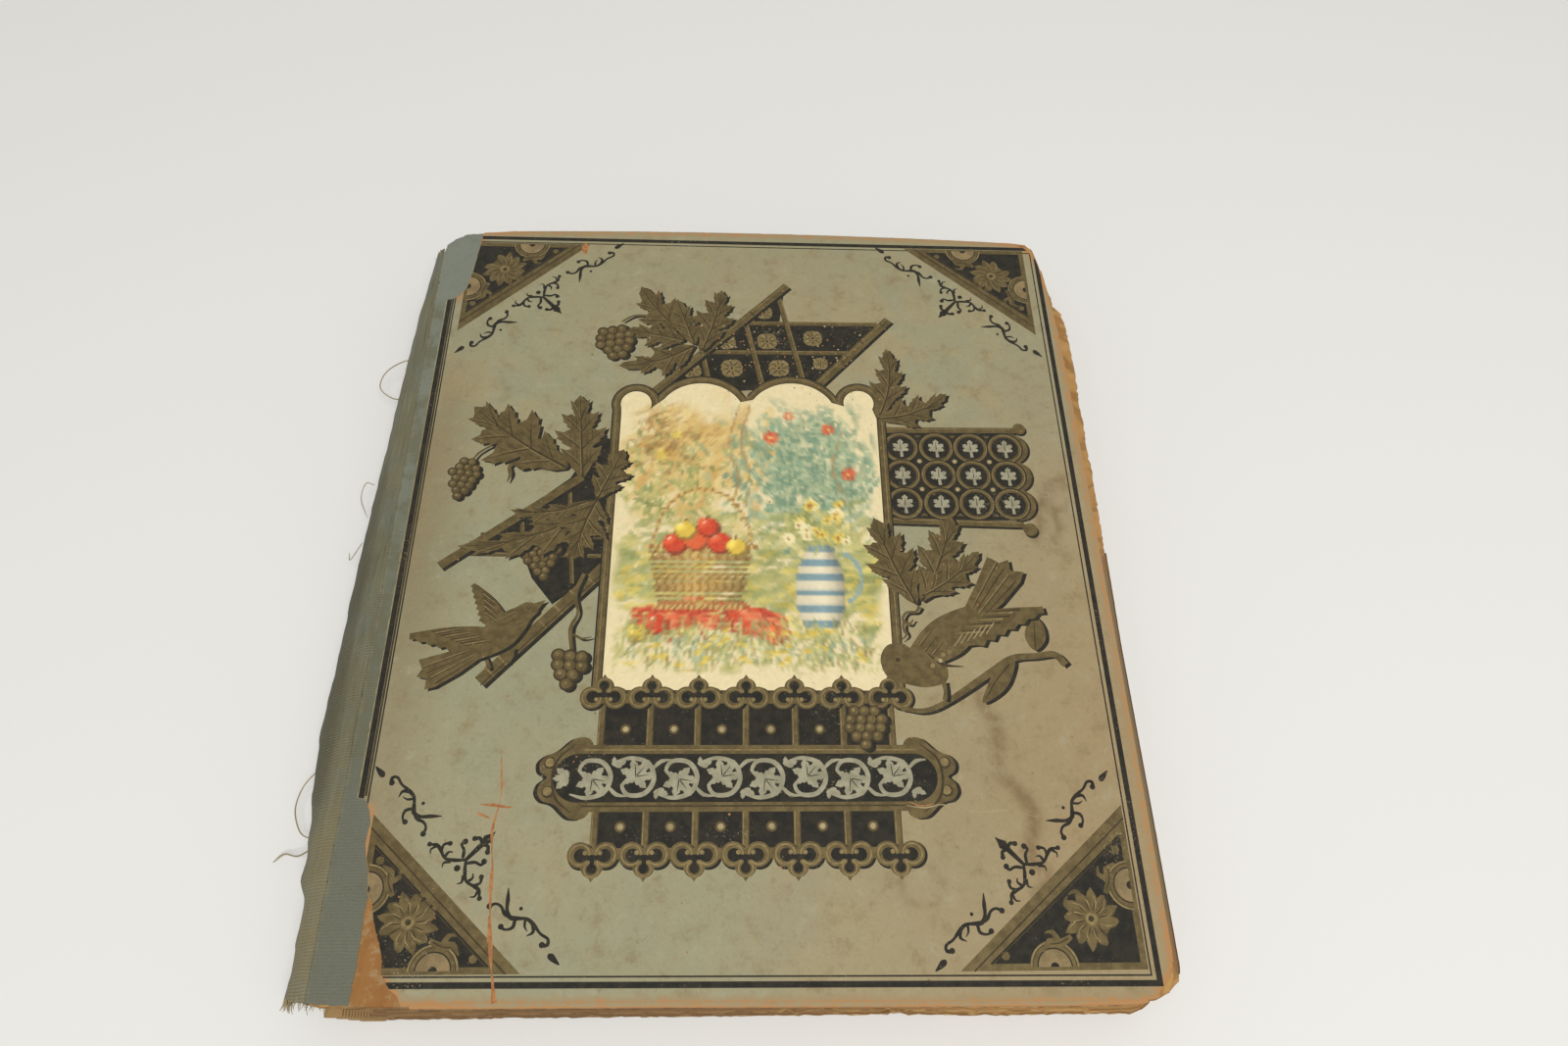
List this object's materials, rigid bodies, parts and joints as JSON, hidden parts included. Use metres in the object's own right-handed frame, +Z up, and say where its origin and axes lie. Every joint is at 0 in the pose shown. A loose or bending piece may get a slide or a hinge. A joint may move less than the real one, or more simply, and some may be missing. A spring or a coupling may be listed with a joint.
{
  "type": "scrapbook",
  "caption": "Old scrap album lying closed: printed paper boards, loose cloth spine, sewn sections and heavy blank leaves that fan out as the cover opens.",
  "frame": {"origin": "centre of the back cover's resting face, on the surface the album lies on", "axes": "+X from the spine towards the fore-edge, +Y towards the head, +Z up through the closed album"},
  "size_m": [0.2796, 0.3045, 0.0284],
  "materials": {
    "pulp_board": "bare worn pulp board",
    "printed_paper": "grey-green printed paper, dull, rubbed and foxed",
    "book_cloth": "plain-weave book cloth, faded, frayed at the ends",
    "endpaper": "toned paste-down paper",
    "lining": "coarse lining paper over mull",
    "tape": "linen sewing tape",
    "thread": "linen thread",
    "leaf_paper": "heavy acid pulp paper, browned and chipped at the edges"
  },
  "bodies": {
    "back_cover": {"back_board": "pulp_board", "back_cover_paper": "printed_paper", "back_joint_cloth": "book_cloth", "back_pastedown": "endpaper", "back_tape_ends": "tape"},
    "spine": {"spine_cloth": "book_cloth", "spine_lining": "lining", "sewing_tapes": "tape", "sewing_thread": "thread", "section_1": "leaf_paper", "section_2": "leaf_paper", "section_3": "leaf_paper", "section_4": "leaf_paper"},
    "front_cover": {"front_board": "pulp_board", "front_cover_paper": "printed_paper", "front_joint_cloth": "book_cloth", "front_pastedown": "endpaper", "front_tape_ends": "tape"},
    "front_flyleaf_body": {"front_flyleaf": "leaf_paper"},
    "leaf_01_body": {"leaf_01": "leaf_paper"},
    "leaf_02_body": {"leaf_02": "leaf_paper"},
    "leaf_03_body": {"leaf_03": "leaf_paper"},
    "leaf_04_body": {"leaf_04": "leaf_paper"},
    "leaf_05_body": {"leaf_05": "leaf_paper"},
    "leaf_06_body": {"leaf_06": "leaf_paper"},
    "leaf_07_body": {"leaf_07": "leaf_paper"},
    "leaf_08_body": {"leaf_08": "leaf_paper"},
    "leaf_09_body": {"leaf_09": "leaf_paper"},
    "leaf_10_body": {"leaf_10": "leaf_paper"},
    "leaf_11_body": {"leaf_11": "leaf_paper"},
    "leaf_12_body": {"leaf_12": "leaf_paper"},
    "leaf_13_body": {"leaf_13": "leaf_paper"},
    "leaf_14_body": {"leaf_14": "leaf_paper"},
    "back_flyleaf_body": {"back_flyleaf": "leaf_paper"}
  },
  "joints": [
    {"name": "front_cover_opens", "type": "hinge", "parent": "spine", "child": "front_cover", "pos_m": [-0.1383, 0, 0.0251], "axis": [0, -1, 0], "range_deg": [0, 131.5]},
    {"name": "spine_turns", "type": "hinge", "parent": "back_cover", "child": "spine", "pos_m": [-0.1273, 0, 0.0003], "axis": [0, -1, 0], "range_deg": [0, 50]},
    {"name": "front_flyleaf_turns", "type": "hinge", "parent": "spine", "child": "front_flyleaf_body", "pos_m": [-0.12763, 0, 0.02133], "axis": [0, -1, 0], "range_deg": [0, 105.04]},
    {"name": "leaf_01_turns", "type": "hinge", "parent": "spine", "child": "leaf_01_body", "pos_m": [-0.12712, 0, 0.02017], "axis": [0, -1, 0], "range_deg": [0, 94.64]},
    {"name": "leaf_02_turns", "type": "hinge", "parent": "spine", "child": "leaf_02_body", "pos_m": [-0.1266, 0, 0.01903], "axis": [0, -1, 0], "range_deg": [0, 84.24]},
    {"name": "leaf_03_turns", "type": "hinge", "parent": "spine", "child": "leaf_03_body", "pos_m": [-0.1261, 0, 0.01787], "axis": [0, -1, 0], "range_deg": [0, 73.83]},
    {"name": "leaf_04_turns", "type": "hinge", "parent": "spine", "child": "leaf_04_body", "pos_m": [-0.12559, 0, 0.01673], "axis": [0, -1, 0], "range_deg": [0, 63.45]},
    {"name": "leaf_05_turns", "type": "hinge", "parent": "spine", "child": "leaf_05_body", "pos_m": [-0.12507, 0, 0.01558], "axis": [0, -1, 0], "range_deg": [0, 53.04]},
    {"name": "leaf_06_turns", "type": "hinge", "parent": "spine", "child": "leaf_06_body", "pos_m": [-0.12456, 0, 0.01443], "axis": [0, -1, 0], "range_deg": [0, 42.64]},
    {"name": "leaf_07_turns", "type": "hinge", "parent": "spine", "child": "leaf_07_body", "pos_m": [-0.12405, 0, 0.01328], "axis": [0, -1, 0], "range_deg": [0, 32.24]},
    {"name": "leaf_08_turns", "type": "hinge", "parent": "spine", "child": "leaf_08_body", "pos_m": [-0.12355, 0, 0.01213], "axis": [0, -1, 0], "range_deg": [0, 21.84]},
    {"name": "leaf_09_turns", "type": "hinge", "parent": "spine", "child": "leaf_09_body", "pos_m": [-0.12304, 0, 0.01098], "axis": [0, -1, 0], "range_deg": [0, 11.44]},
    {"name": "leaf_10_turns", "type": "hinge", "parent": "spine", "child": "leaf_10_body", "pos_m": [-0.12252, 0, 0.00983], "axis": [0, -1, 0], "range_deg": [0, 1.04]},
    {"name": "leaf_11_turns", "type": "hinge", "parent": "spine", "child": "leaf_11_body", "pos_m": [-0.12201, 0, 0.00868], "axis": [0, -1, 0], "range_deg": [-9.39, 0]},
    {"name": "leaf_12_turns", "type": "hinge", "parent": "spine", "child": "leaf_12_body", "pos_m": [-0.12151, 0, 0.00752], "axis": [0, -1, 0], "range_deg": [-19.77, 0]},
    {"name": "leaf_13_turns", "type": "hinge", "parent": "spine", "child": "leaf_13_body", "pos_m": [-0.121, 0, 0.00637], "axis": [0, -1, 0], "range_deg": [-30.18, 0]},
    {"name": "leaf_14_turns", "type": "hinge", "parent": "spine", "child": "leaf_14_body", "pos_m": [-0.12048, 0, 0.00522], "axis": [0, -1, 0], "range_deg": [-40.58, 0]},
    {"name": "back_flyleaf_turns", "type": "hinge", "parent": "spine", "child": "back_flyleaf_body", "pos_m": [-0.11997, 0, 0.00407], "axis": [0, -1, 0], "range_deg": [-50.98, 0]}
  ],
  "couplings": [
    {"joint": "spine_turns", "follows": "front_cover_opens", "ratio": 0.38},
    {"joint": "front_flyleaf_turns", "follows": "front_cover_opens", "ratio": 0.7987},
    {"joint": "leaf_01_turns", "follows": "front_cover_opens", "ratio": 0.7196},
    {"joint": "leaf_02_turns", "follows": "front_cover_opens", "ratio": 0.6405},
    {"joint": "leaf_03_turns", "follows": "front_cover_opens", "ratio": 0.5614},
    {"joint": "leaf_04_turns", "follows": "front_cover_opens", "ratio": 0.4824},
    {"joint": "leaf_05_turns", "follows": "front_cover_opens", "ratio": 0.4033},
    {"joint": "leaf_06_turns", "follows": "front_cover_opens", "ratio": 0.3242},
    {"joint": "leaf_07_turns", "follows": "front_cover_opens", "ratio": 0.2451},
    {"joint": "leaf_08_turns", "follows": "front_cover_opens", "ratio": 0.166},
    {"joint": "leaf_09_turns", "follows": "front_cover_opens", "ratio": 0.0869},
    {"joint": "leaf_10_turns", "follows": "front_cover_opens", "ratio": 0.0078},
    {"joint": "leaf_11_turns", "follows": "front_cover_opens", "ratio": -0.0713},
    {"joint": "leaf_12_turns", "follows": "front_cover_opens", "ratio": -0.1503},
    {"joint": "leaf_13_turns", "follows": "front_cover_opens", "ratio": -0.2294},
    {"joint": "leaf_14_turns", "follows": "front_cover_opens", "ratio": -0.3085},
    {"joint": "back_flyleaf_turns", "follows": "front_cover_opens", "ratio": -0.3876}
  ]
}
